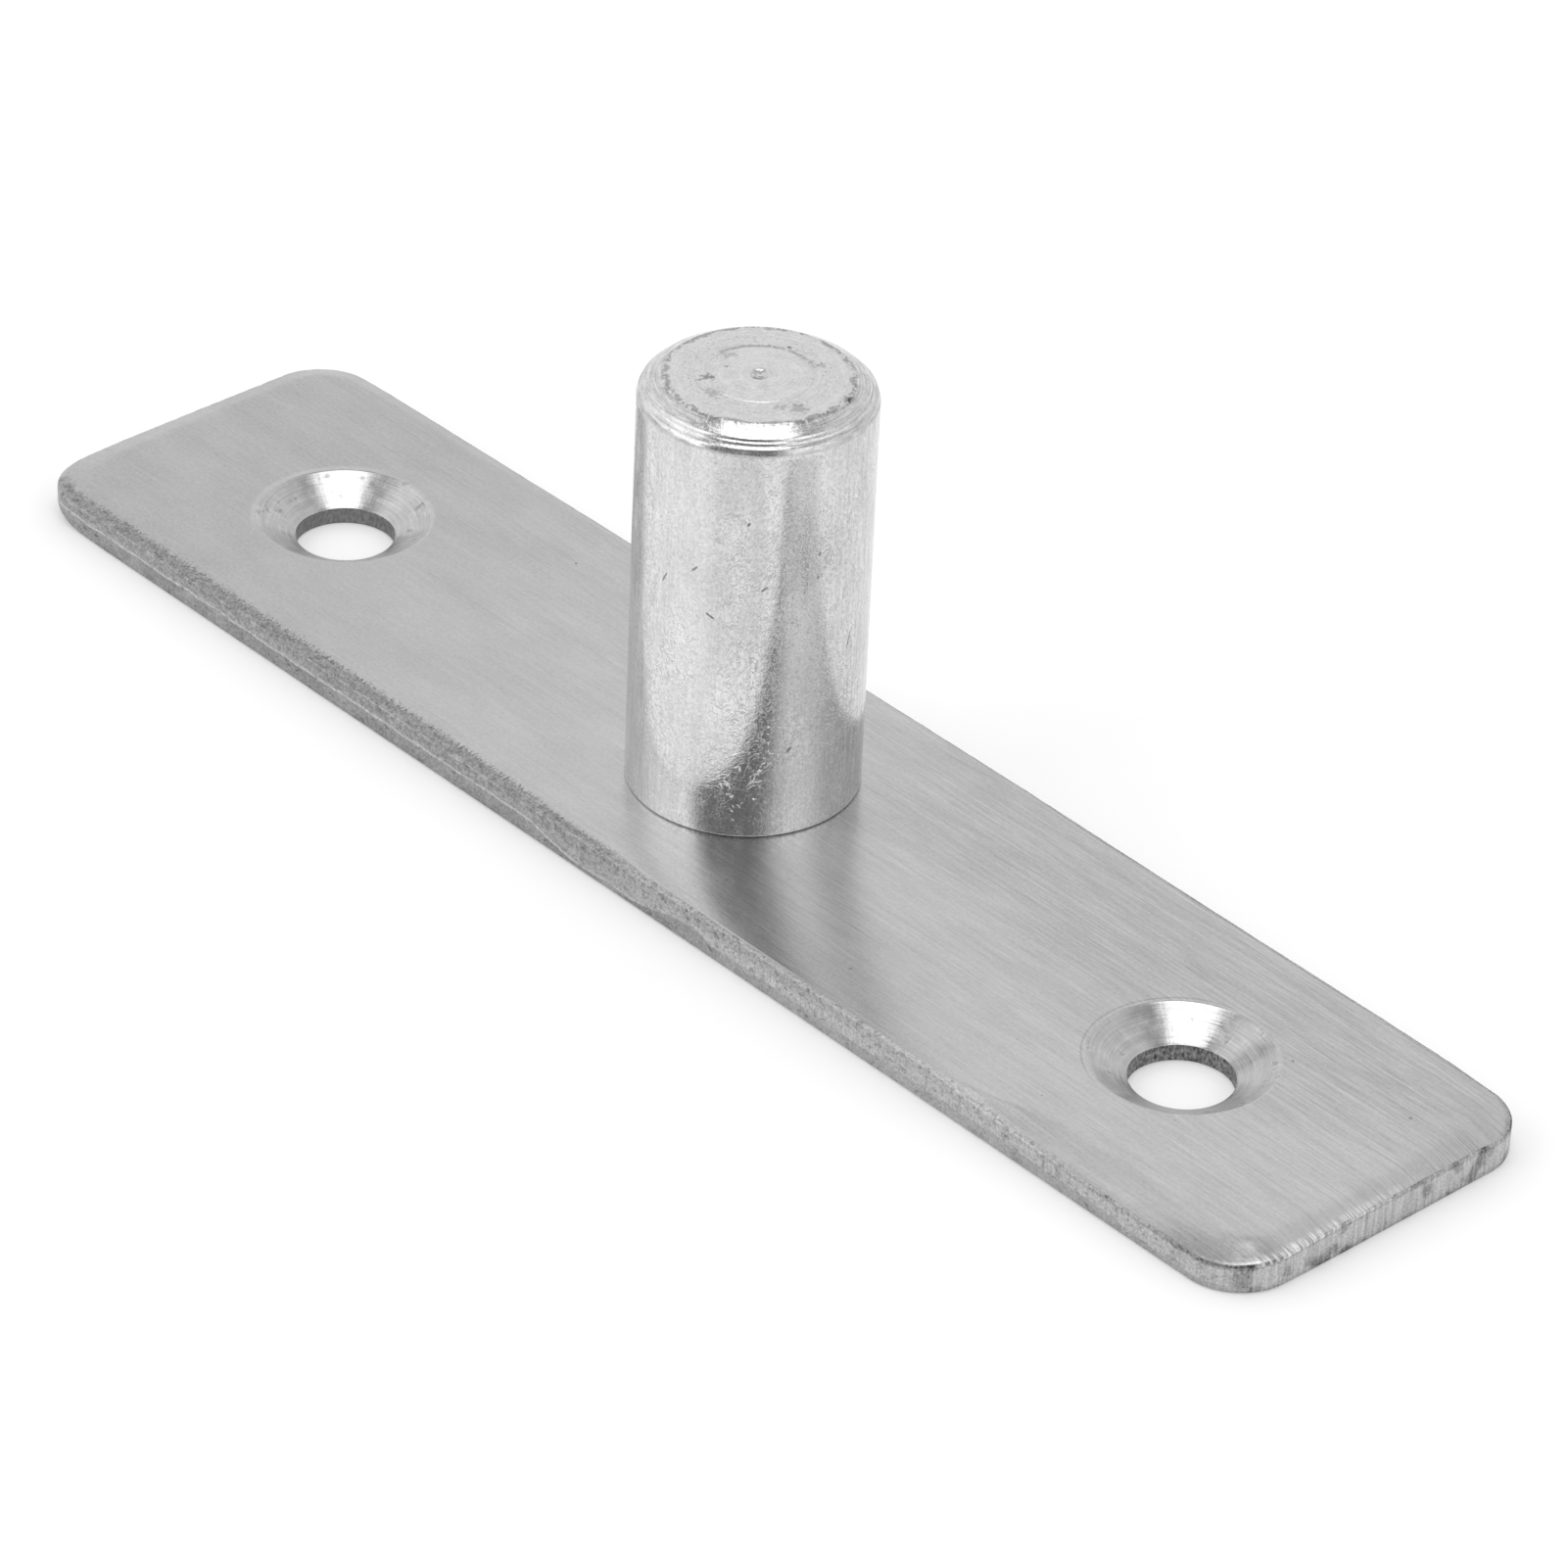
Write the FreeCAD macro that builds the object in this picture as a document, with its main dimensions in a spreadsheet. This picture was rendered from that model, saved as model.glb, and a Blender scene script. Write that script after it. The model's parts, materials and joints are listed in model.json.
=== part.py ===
import FreeCAD, Part
import math
import os
import Sketcher
from FreeCAD import Vector

# Pivot hinge, fixed half: a turned steel pin riveted to a screw-on plate.
# The door's other half, a socket, turns on the pin and lifts off it.
# Frame: the plate's back face lies on z = 0 with its middle at the origin,
# X runs along the plate and the pin stands up along +Z.

doc = FreeCAD.newDocument("pivot_hinge")

# Driving sizes, in millimetres and degrees.
SIZES = {
    # Plate: a length of strip steel, cropped and rounded in a press.
    "plate_length": 114.3,
    "plate_width": 25.4,
    "plate_thickness": 2.65,
    "corner_radius": 4.0,
    "edge_roll": 0.55,
    "back_edge_break": 0.15,
    # Screw holes, drilled and countersunk from the front.
    "hole_spacing": 79.4,
    "screw_hole_diameter": 6.6,
    "countersink_diameter": 11.5,
    "countersink_angle": 118.0,
    "countersink_rim_break": 0.12,
    # Seat of the pin's tenon, with its rivet countersink in the back.
    "tenon_diameter": 9.0,
    "rivet_seat_diameter": 11.4,
    "rivet_seat_angle": 90.0,
    "rivet_set_back": 0.1,
    # Pin: a bar turned down to its tenon, faced and chamfered on top.
    "pin_diameter": 15.0,
    "pin_height": 29.0,
    "base_edge_break": 0.2,
    "top_flat_diameter": 11.75,
    "chamfer_diameter": 13.7,
    "chamfer_depth": 0.55,
    "tool_mark_drop": 0.12,
    "tool_mark_width": 0.13,
    "tool_mark_fall": 0.07,
    "shoulder_depth": 1.45,
    "facing_disc_diameter": 6.6,
    "facing_disc_height": 0.06,
    "dimple_diameter": 1.2,
    "dimple_depth": 0.2,
}

sheet = doc.addObject("Spreadsheet::Sheet", "sizes")
for row, (alias, value) in enumerate(SIZES.items(), start=1):
    sheet.set(f"A{row}", alias)
    sheet.set(f"B{row}", str(value))
    sheet.setAlias(f"B{row}", alias)
doc.recompute()


def size(alias):
    """Value of a driving size, read back from the sheet."""
    return float(getattr(sheet, alias))


def bind(target, **expressions):
    """Tie properties of an object to sizes of the sheet."""
    for name, expression in expressions.items():
        target.setExpression(name, expression)


def origin_item(body, role):
    """Plane or axis of the body's own origin."""
    return next(item for item in body.Origin.OriginFeatures if item.Role == role)


def new_sketch(body, name, plane, height=None):
    """Sketch on one of the body's origin planes, lifted by a size if given."""
    sketch = body.newObject("Sketcher::SketchObject", name)
    sketch.AttachmentSupport = [(origin_item(body, plane), "")]
    sketch.MapMode = "FlatFace"
    if height:
        sketch.setExpression("AttachmentOffset.Base.z", height)
    return sketch


def dimension(sketch, kind, geometry, expression):
    """Driven length on a sketch: geometry lists the elements and their points."""
    index = sketch.addConstraint(Sketcher.Constraint(kind, *geometry, 1.0))
    sketch.setExpression(f"Constraints[{index}]", expression)


def first_position(expression):
    """Present value of an expression over the sheet, where a point is first drawn."""
    value = sheet.evalExpression(expression)
    return float(getattr(value, "Value", value))


def rising_arc(start, end):
    """Arc that leaves its start straight up and bends inwards to its end."""
    inwards = start.x - end.x
    rise = end.y - start.y
    radius = (inwards ** 2 + rise ** 2) / (2 * inwards)
    middle = Vector(start.x - radius, start.y, 0)
    circle = Part.Circle(middle, Vector(0, 0, 1), radius)
    return Part.ArcOfCircle(circle, 0, math.asin(rise / radius))


def closed_profile(sketch, corners, arc_from):
    """Closed outline with every corner set out from the origin.

    Its elements are straight, but the one that starts at corner arc_from is an
    arc, tangent to the line before it.
    """
    points = [Vector(first_position(across), first_position(up), 0) for across, up in corners]
    count = len(points)
    for index, start in enumerate(points):
        end = points[(index + 1) % count]
        shape = rising_arc(start, end) if index == arc_from else Part.LineSegment(start, end)
        sketch.addGeometry(shape, False)
    for index in range(count):
        following = (index + 1) % count
        kind = "Tangent" if following == arc_from else "Coincident"
        sketch.addConstraint(Sketcher.Constraint(kind, index, 2, following, 1))
    for index, (across, up) in enumerate(corners):
        if across == "0":
            sketch.addConstraint(Sketcher.Constraint("PointOnObject", index, 1, -2))
        else:
            dimension(sketch, "DistanceX", (-1, 1, index, 1), across)
        dimension(sketch, "DistanceY", (-1, 1, index, 1), up)


def round_edges(body, name, edges, radius):
    """Fillet on the listed edges of the body's present tip."""
    base = body.Tip
    fillet = body.newObject("PartDesign::Fillet", name)
    fillet.Base = (base, edges)
    fillet.setExpression("Radius", radius)
    doc.recompute()


def edges_where(body, test):
    """Names of the tip's edges that pass a test on the edge."""
    edges = body.Tip.Shape.Edges
    return [f"Edge{number}" for number, edge in enumerate(edges, start=1) if test(edge)]


def at_height(edge, height):
    """True for an edge that lies flat at a height."""
    box = edge.BoundBox
    return abs(box.ZMin - height) < 1e-5 and abs(box.ZMax - height) < 1e-5


# Mounting plate: flat strip with round corners. The press rolls its front edges
# over and leaves the back ones nearly sharp.
plate = doc.addObject("PartDesign::Body", "mounting_plate")
plate.Label = "mounting_plate"

outline = new_sketch(plate, "plate_outline", "XY_Plane")
half_length = size("plate_length") / 2
half_width = size("plate_width") / 2
corners = [
    Vector(-half_length, -half_width, 0),
    Vector(half_length, -half_width, 0),
    Vector(half_length, half_width, 0),
    Vector(-half_length, half_width, 0),
]
for index in range(4):
    outline.addGeometry(Part.LineSegment(corners[index], corners[(index + 1) % 4]), False)
for index in range(4):
    outline.addConstraint(Sketcher.Constraint("Coincident", index, 2, (index + 1) % 4, 1))
outline.addConstraint(Sketcher.Constraint("Horizontal", 0))
outline.addConstraint(Sketcher.Constraint("Horizontal", 2))
outline.addConstraint(Sketcher.Constraint("Vertical", 1))
outline.addConstraint(Sketcher.Constraint("Vertical", 3))
outline.addConstraint(Sketcher.Constraint("Symmetric", 0, 1, 2, 1, -1, 1))
dimension(outline, "DistanceX", (0, 1, 0, 2), "sizes.plate_length")
dimension(outline, "DistanceY", (1, 1, 1, 2), "sizes.plate_width")

strip = plate.newObject("PartDesign::Pad", "strip")
strip.Profile = outline
bind(strip, Length="sizes.plate_thickness")
doc.recompute()

thickness = size("plate_thickness")
upright = edges_where(plate, lambda edge: edge.BoundBox.ZLength > thickness / 2)
round_edges(plate, "cropped_corners", upright, "sizes.corner_radius")
front_edges = edges_where(plate, lambda edge: at_height(edge, thickness))
round_edges(plate, "rolled_front_edge", front_edges, "sizes.edge_roll")
back_edges = edges_where(plate, lambda edge: at_height(edge, 0))
round_edges(plate, "back_edge", back_edges, "sizes.back_edge_break")

# Two screw holes on the plate's long middle line, one each side of the pin.
hole_centres = new_sketch(plate, "screw_hole_centres", "XY_Plane", "sizes.plate_thickness")
for side in (-1, 1):
    centre = Vector(side * size("hole_spacing") / 2, 0, 0)
    radius = size("screw_hole_diameter") / 2
    hole_centres.addGeometry(Part.Circle(centre, Vector(0, 0, 1), radius), False)
for index in (0, 1):
    dimension(hole_centres, "Radius", (index,), "sizes.screw_hole_diameter / 2")
hole_centres.addConstraint(Sketcher.Constraint("PointOnObject", 0, 3, -1))
hole_centres.addConstraint(Sketcher.Constraint("Symmetric", 0, 3, 1, 3, -2))
dimension(hole_centres, "DistanceX", (0, 3, 1, 3), "sizes.hole_spacing")
doc.recompute()

screw_holes = plate.newObject("PartDesign::Hole", "screw_holes")
screw_holes.Profile = hole_centres
doc.recompute()
screw_holes.ThreadType = "None"
screw_holes.DepthType = "ThroughAll"
screw_holes.HoleCutType = "Countersink"
screw_holes.HoleCutCustomValues = True
bind(
    screw_holes,
    Diameter="sizes.screw_hole_diameter",
    HoleCutDiameter="sizes.countersink_diameter",
    HoleCutCountersinkAngle="sizes.countersink_angle",
)
doc.recompute()

rim_radius = size("countersink_diameter") / 2


def is_rim(edge):
    """True for the front rim of a countersink."""
    round_edge = hasattr(edge.Curve, "Radius")
    return round_edge and at_height(edge, thickness) and abs(edge.Curve.Radius - rim_radius) < 1e-5


rims = edges_where(plate, is_rim)
round_edges(plate, "countersink_rims", rims, "sizes.countersink_rim_break")

# Seat of the pin: a plain bore, countersunk in the back for the rivet head.
seat_centre = new_sketch(plate, "pin_seat_centre", "XY_Plane")
seat_radius = size("tenon_diameter") / 2
seat_centre.addGeometry(Part.Circle(Vector(0, 0, 0), Vector(0, 0, 1), seat_radius), False)
seat_centre.addConstraint(Sketcher.Constraint("Coincident", 0, 3, -1, 1))
dimension(seat_centre, "Radius", (0,), "sizes.tenon_diameter / 2")
doc.recompute()

pin_seat = plate.newObject("PartDesign::Hole", "pin_seat")
pin_seat.Profile = seat_centre
pin_seat.Reversed = True
doc.recompute()
pin_seat.ThreadType = "None"
pin_seat.DepthType = "ThroughAll"
pin_seat.HoleCutType = "Countersink"
pin_seat.HoleCutCustomValues = True
bind(
    pin_seat,
    Diameter="sizes.tenon_diameter",
    HoleCutDiameter="sizes.rivet_seat_diameter",
    HoleCutCountersinkAngle="sizes.rivet_seat_angle",
)
doc.recompute()

# Pivot pin: one turning, from the rivet head in the plate's back, up the tenon
# and the bearing length, to the chamfered top with its faced disc and dimple.
pin = doc.addObject("PartDesign::Body", "pivot_pin")
pin.Label = "pivot_pin"

head_slope = "tan(sizes.rivet_seat_angle / 2)"
seat_depth = f"(sizes.rivet_seat_diameter - sizes.tenon_diameter) / 2 / {head_slope}"
head_radius = f"sizes.rivet_seat_diameter / 2 - sizes.rivet_set_back * {head_slope}"
tenon_radius = "sizes.tenon_diameter / 2"
pin_radius = "sizes.pin_diameter / 2"
plate_face = "sizes.plate_thickness"
pin_top = "sizes.plate_thickness + sizes.pin_height"
chamfer_foot = f"{pin_top} - sizes.chamfer_depth"
chamfer_radius = "sizes.chamfer_diameter / 2"
disc_top = f"{pin_top} + sizes.facing_disc_height"

# The turning tool left two fine steps between the chamfer and the shoulder.
first_mark = f"{chamfer_foot} - sizes.tool_mark_drop"
first_mark_foot = f"{first_mark} - sizes.tool_mark_fall"
second_mark = f"{first_mark_foot} - sizes.tool_mark_drop"
second_mark_foot = f"{second_mark} - sizes.tool_mark_fall"

turning = new_sketch(pin, "turning_profile", "XZ_Plane")
closed_profile(turning, [
    ("0", "sizes.rivet_set_back"),
    (head_radius, "sizes.rivet_set_back"),
    (tenon_radius, seat_depth),
    (tenon_radius, plate_face),
    (f"{pin_radius} - sizes.base_edge_break", plate_face),
    (pin_radius, f"{plate_face} + sizes.base_edge_break"),
    (pin_radius, f"{pin_top} - sizes.shoulder_depth"),
    (f"{chamfer_radius} + 2 * sizes.tool_mark_width", second_mark_foot),
    (f"{chamfer_radius} + sizes.tool_mark_width", second_mark),
    (f"{chamfer_radius} + sizes.tool_mark_width", first_mark_foot),
    (chamfer_radius, first_mark),
    (chamfer_radius, chamfer_foot),
    ("sizes.top_flat_diameter / 2", pin_top),
    ("sizes.facing_disc_diameter / 2 + sizes.facing_disc_height", pin_top),
    ("sizes.facing_disc_diameter / 2", disc_top),
    ("sizes.dimple_diameter / 2", disc_top),
    ("0", f"{disc_top} - sizes.dimple_depth"),
], arc_from=6)
doc.recompute()

turned = pin.newObject("PartDesign::Revolution", "turned_bar")
turned.Profile = turning
turned.ReferenceAxis = (origin_item(pin, "Z_Axis"), [""])
turned.Angle = 360.0

doc.recompute()
sub_parts = [plate, pin]
for item in doc.Objects:
    if "Invalid" in item.State or "Error" in item.State:
        raise RuntimeError(f"{item.Label} failed: {item.State}")
for item in sub_parts:
    if item.Shape.isNull() or not item.Shape.isValid() or len(item.Shape.Solids) != 1:
        raise RuntimeError(f"{item.Label} isn't one valid solid")

os.makedirs("parts", exist_ok=True)
for item in sub_parts:
    item.Shape.exportStep(f"parts/{item.Label}.step")
    print(item.Label, round(item.Shape.Volume, 3), item.Shape.BoundBox)
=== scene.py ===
import json
import math
import random

import bpy
from mathutils import Matrix, Vector


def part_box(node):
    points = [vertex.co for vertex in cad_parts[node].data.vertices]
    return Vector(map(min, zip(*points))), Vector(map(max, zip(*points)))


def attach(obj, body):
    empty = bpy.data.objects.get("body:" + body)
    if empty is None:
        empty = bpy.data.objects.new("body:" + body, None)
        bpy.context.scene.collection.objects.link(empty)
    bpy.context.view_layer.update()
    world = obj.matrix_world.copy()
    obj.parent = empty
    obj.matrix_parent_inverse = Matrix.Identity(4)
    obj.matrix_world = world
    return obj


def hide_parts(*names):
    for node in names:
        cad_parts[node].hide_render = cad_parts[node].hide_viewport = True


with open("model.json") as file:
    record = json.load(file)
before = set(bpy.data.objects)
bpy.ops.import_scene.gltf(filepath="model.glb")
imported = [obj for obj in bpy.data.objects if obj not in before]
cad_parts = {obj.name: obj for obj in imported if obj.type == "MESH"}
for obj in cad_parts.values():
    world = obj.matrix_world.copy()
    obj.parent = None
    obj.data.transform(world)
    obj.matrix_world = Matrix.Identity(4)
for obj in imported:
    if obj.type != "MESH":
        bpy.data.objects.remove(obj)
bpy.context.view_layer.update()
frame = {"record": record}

# Mounting plate: strip steel 2.65 mm thick, cropped to length and rounded at the
# corners in a press, which rolled its front edges over. The front is brushed along
# its length. Two screw holes are countersunk in it, and one seat holds the pin.
mm = 0.001
mounts = {mount["name"]: mount for mount in frame["record"]["mounts"]}
plate_low, plate_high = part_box("mounting_plate")
plate_length = plate_high.x - plate_low.x
plate_width = plate_high.y - plate_low.y
plate_thickness = plate_high.z - plate_low.z
corner_radius = 4.0 * mm
hole_spacing = mounts["screw_holes"]["dims"]["spacing_x_mm"] * mm
screw_hole_radius = mounts["screw_holes"]["dims"]["hole_r_mm"] * mm
countersink_radius = 5.75 * mm
countersink_slope = math.radians(118 / 2)
rim_break = 0.2 * mm
tenon_radius = 4.5 * mm
rivet_seat_radius = 5.7 * mm

# How far the front edge is rolled over and the back edge broken, in millimetres, at
# places round the outline: its share counts from the far right corner, by the far
# edge, the left end and the near edge to the right end.
rolled_edges = {
    "far right corner": (0.014, 0.68, 0.15),
    "far edge, beside the corner": (0.035, 0.46, 0.15),
    "far edge, at the right screw": (0.071, 0.36, 0.15),
    "far edge, right of the pin": (0.108, 0.27, 0.15),
    "far edge, near the pin": (0.150, 0.14, 0.15),
    "far edge, behind the pin": (0.200, 0.02, 0.15),
    "far edge, left of the pin": (0.260, 0.06, 0.15),
    "far edge, at the left screw": (0.365, 0.19, 0.15),
    "far edge, by the left corner": (0.402, 0.25, 0.15),
    "far left corner": (0.425, 0.37, 0.15),
    "left end": (0.468, 0.40, 0.20),
    "left end, near side": (0.497, 0.50, 0.40),
    "near left corner": (0.509, 0.66, 0.90),
    "near left corner, its end": (0.519, 0.60, 0.85),
    "near edge, beside the corner": (0.530, 0.52, 0.20),
    "near edge, at the left screw": (0.564, 0.44, 0.15),
    "near edge, before the pin": (0.718, 0.38, 0.20),
    "near edge, by the pin's right": (0.750, 0.18, 0.20),
    "near edge, right of the pin": (0.775, 0.13, 0.20),
    "near edge, half way to the screw": (0.812, 0.13, 0.20),
    "near edge, before the screw": (0.845, 0.42, 0.20),
    "near edge, at the right screw": (0.880, 0.70, 0.20),
    "near right corner": (0.914, 0.72, 0.20),
    "near right corner, its end": (0.928, 0.58, 0.25),
    "right end, near side": (0.943, 0.47, 0.15),
    "right end": (0.970, 0.40, 0.10),
    "right end, far side": (0.992, 0.42, 0.10),
}


class Tree:
    """A node tree being built. An input takes a plain value or another node's output.

    A ramp, span or smooth goes from low to high, a fade from one down to zero.
    """

    def __init__(self, tree):
        self.tree = tree

    def feed(self, socket, value):
        if isinstance(value, bpy.types.NodeSocket):
            self.tree.links.new(value, socket)
        else:
            socket.default_value = value

    def add(self, kind, inputs=None, **settings):
        node = self.tree.nodes.new(kind)
        for setting, value in settings.items():
            setattr(node, setting, value)
        for socket, value in (inputs or {}).items():
            self.feed(node.inputs[socket], value)
        return node

    def math(self, operation, *values):
        return self.add("ShaderNodeMath", dict(enumerate(values)), operation=operation).outputs[0]

    def vector(self, operation, *values):
        node = self.add("ShaderNodeVectorMath", dict(enumerate(values)), operation=operation)
        return node.outputs["Value" if operation in ("LENGTH", "DOT_PRODUCT") else "Vector"]

    def scaled(self, vector, factor):
        inputs = {"Vector": vector, "Scale": factor}
        return self.add("ShaderNodeVectorMath", inputs, operation="SCALE").outputs["Vector"]

    def split(self, vector):
        return self.add("ShaderNodeSeparateXYZ", {0: vector}).outputs

    def joined(self, x=0.0, y=0.0, z=0.0):
        return self.add("ShaderNodeCombineXYZ", {0: x, 1: y, 2: z}).outputs[0]

    def ramp(self, value, start, end, low=0.0, high=1.0, kind="LINEAR"):
        inputs = {0: value, 1: start, 2: end, 3: low, 4: high}
        return self.add("ShaderNodeMapRange", inputs, interpolation_type=kind).outputs[0]

    def smooth(self, value, start, end, low=0.0, high=1.0):
        return self.ramp(value, start, end, low, high, kind="SMOOTHSTEP")

    def fade(self, value, start, end):
        return self.smooth(value, start, end, 1.0, 0.0)

    def span(self, noise, low, high):
        return self.ramp(noise, 0.3, 0.7, low, high)

    def apart(self, value, middle):
        return self.math("ABSOLUTE", self.math("SUBTRACT", value, middle))

    def blend(self, share, first, second):
        return self.add("ShaderNodeMix", {0: share, 2: first, 3: second}).outputs[0]

    def noise(self, vector, detail=2.0, distortion=0.0):
        inputs = {"Vector": vector, "Scale": 1.0, "Detail": detail, "Distortion": distortion}
        return self.add("ShaderNodeTexNoise", inputs).outputs[0]

    def total(self, *values):
        result = values[0]
        for value in values[1:]:
            result = self.math("ADD", result, value)
        return result

    def product(self, *values):
        result = values[0]
        for value in values[1:]:
            result = self.math("MULTIPLY", result, value)
        return result

    def rest(self, share):
        return self.math("SUBTRACT", 1.0, share)


def shape_tree(name, inputs):
    """Geometry tree with named inputs, given as name: (socket type, value)."""
    tree = bpy.data.node_groups.new(name, "GeometryNodeTree")
    tree.interface.new_socket("Geometry", in_out="OUTPUT", socket_type="NodeSocketGeometry")
    for label, (kind, value) in inputs.items():
        socket = tree.interface.new_socket(label, in_out="INPUT", socket_type=f"NodeSocket{kind}")
        if value is not None:
            socket.default_value = value
    shape = Tree(tree)
    return shape, shape.add("NodeGroupInput").outputs, shape.add("NodeGroupOutput").inputs


def grid_cell(shape, rows):
    """Column and row of a grid's vertex, as whole numbers."""
    index = shape.add("GeometryNodeInputIndex").outputs[0]
    place = shape.math("DIVIDE", shape.math("ADD", index, 0.5), rows)
    column = shape.math("FLOOR", place)
    row = shape.math("SUBTRACT", index, shape.math("MULTIPLY", column, rows))
    return column, row


# Turned forms: a profile of points (radius, 0, height) taken once round the Z axis.
turned, given, result = shape_tree("turned_form", {
    "Profile": ("Object", None),
    "Steps Round": ("Int", 128),
})
profile = turned.add("GeometryNodeObjectInfo", {"Object": given["Profile"]}).outputs["Geometry"]
rows = turned.add("GeometryNodeAttributeDomainSize", {0: profile}).outputs["Point Count"]
columns = turned.math("ADD", given["Steps Round"], 1)
grid = turned.add("GeometryNodeMeshGrid", {"Vertices X": columns, "Vertices Y": rows})
column, row = grid_cell(turned, rows)
position = turned.add("GeometryNodeInputPosition").outputs[0]
point = turned.add(
    "GeometryNodeSampleIndex",
    {"Geometry": profile, "Value": position, "Index": row},
    data_type="FLOAT_VECTOR",
).outputs[0]
turn = turned.math("DIVIDE", turned.math("MULTIPLY", column, math.tau), given["Steps Round"])
placed = turned.add(
    "ShaderNodeVectorRotate", {"Vector": point, "Angle": turn}, rotation_type="Z_AXIS"
).outputs[0]
on_grid = {"Geometry": grid.outputs["Mesh"], "Position": placed}
moved = turned.add("GeometryNodeSetPosition", on_grid).outputs[0]
closed = turned.add("GeometryNodeMergeByDistance", {"Geometry": moved, "Distance": 1e-6})
turned.feed(result[0], closed.outputs[0])


def profile_object(name, points):
    """Line of points (radius, height) in the XZ plane, for a turned form."""
    mesh = bpy.data.meshes.new(name)
    mesh.from_pydata([(radius, 0, height) for radius, height in points], [], [])
    return bpy.data.objects.new(name, mesh)


def stretch(start, end, steps):
    """Evenly spaced points from start to end, without the start."""
    return [
        (start[0] + (end[0] - start[0]) * step / steps, start[1] + (end[1] - start[1]) * step / steps)
        for step in range(1, steps + 1)
    ]


# Countersunk hole, from its rim down. The cutter left fine rings on the cone.
cone_depth = (countersink_radius - screw_hole_radius) / math.tan(countersink_slope)
bore_top = plate_thickness - cone_depth
rim_outer = countersink_radius + rim_break
cutter = random.Random(7)
hole_points = [(rim_outer, plate_thickness)]
for step in range(1, 5):
    share = step / 4
    drop = rim_break * 0.3 * share * share
    hole_points.append((rim_outer - rim_break * share, plate_thickness - drop))
cone_steps = 44
cone_start = hole_points[-1]
for place in stretch(cone_start, (screw_hole_radius, bore_top), cone_steps):
    ring = cutter.uniform(0.0, 0.009) * mm
    hole_points.append((place[0], place[1] - ring))
hole_points[-1] = (screw_hole_radius + 0.02 * mm, bore_top)
hole_points += stretch((screw_hole_radius, bore_top - 0.04 * mm), (screw_hole_radius, 0.12 * mm), 10)
hole_foot_radius = screw_hole_radius + 0.08 * mm
hole_points.append((hole_foot_radius, 0.0))

# Seat of the pin: a plain bore that opens into a cone at the back.
seat_depth = rivet_seat_radius - tenon_radius
seat_points = [(tenon_radius, plate_thickness), (tenon_radius, seat_depth), (rivet_seat_radius, 0.0)]

strip, given, result = shape_tree("mounting_plate", {
    "Length": ("Float", plate_length),
    "Width": ("Float", plate_width),
    "Thickness": ("Float", plate_thickness),
    "Corner Radius": ("Float", corner_radius),
    "Crest Radius": ("Float", 0.14 * mm),
    "Shear Mark Depth": ("Float", 0.03 * mm),
    "Columns": ("Int", 2200),
    "Hole Spacing": ("Float", hole_spacing),
    "Hole Profile": ("Object", None),
    "Hole Rim Radius": ("Float", rim_outer),
    "Hole Foot Radius": ("Float", hole_foot_radius),
    "Seat Profile": ("Object", None),
    "Seat Radius": ("Float", tenon_radius),
    "Seat Foot Radius": ("Float", rivet_seat_radius),
    "Steps Round": ("Int", 144),
    "Face Finish": ("Material", None),
    "Hole Finish": ("Material", None),
})
band_rows = {"margin": 2, "roll": 10, "crest": 4, "side": 10, "break": 4, "under": 2}
edge_rows = sum(band_rows.values()) + 1
margin = 3.6 * mm

# The plate's outline, as evenly spaced points.
box = strip.add("GeometryNodeCurvePrimitiveQuadrilateral", {
    "Width": given["Length"],
    "Height": given["Width"],
})
cropped = strip.add(
    "GeometryNodeFilletCurve",
    {"Curve": box.outputs[0], "Count": 24, "Radius": given["Corner Radius"]},
    mode="POLY",
)
outline = strip.add(
    "GeometryNodeResampleCurve", {"Curve": cropped.outputs[0], "Count": given["Columns"]}, mode="COUNT"
).outputs[0]
position = strip.add("GeometryNodeInputPosition").outputs[0]
tangent = strip.add("GeometryNodeInputTangent").outputs[0]
outward = strip.vector("CROSS_PRODUCT", tangent, (0, 0, 1))

# A band of columns and rows runs round the edge: a flat margin on the front, the
# roll, its small crest, the side, the break at the back and a margin underneath.
wide = strip.math("ADD", given["Columns"], 1)
band = strip.add("GeometryNodeMeshGrid", {"Vertices X": wide, "Vertices Y": edge_rows}).outputs["Mesh"]
column, row = grid_cell(strip, edge_rows)
around = strip.math("MODULO", column, given["Columns"])


def from_outline(value):
    """A value of the outline's points, at the band's columns."""
    inputs = {"Geometry": outline, "Value": value, "Index": around}
    return strip.add("GeometryNodeSampleIndex", inputs, data_type="FLOAT_VECTOR").outputs[0]


place = from_outline(position)
out = from_outline(outward)
starts = [0]
for count in band_rows.values():
    starts.append(starts[-1] + count)
on_margin, on_roll, on_crest, on_side, on_break, on_under = [
    strip.ramp(row, first, last) for first, last in zip(starts, starts[1:])
]


def round_the_edge(which):
    """One size of the rolled edges, as a smooth curve round the outline, in metres."""
    share = strip.math("DIVIDE", around, given["Columns"])
    curve = strip.add("ShaderNodeFloatCurve", {"Value": share})
    stations = [(station[0], station[which]) for station in rolled_edges.values()]
    first, last = stations[0], stations[-1]
    wrap = first[1] + (last[1] - first[1]) * first[0] / (first[0] + 1 - last[0])
    points = curve.mapping.curves[0].points
    points[0].location = (0.0, wrap)
    points[1].location = (1.0, wrap)
    for station, value in stations:
        points.new(station, value)
    for point in points:
        point.handle_type = "AUTO_CLAMPED"
    curve.mapping.update()
    return strip.math("MULTIPLY", curve.outputs[0], mm)


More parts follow.
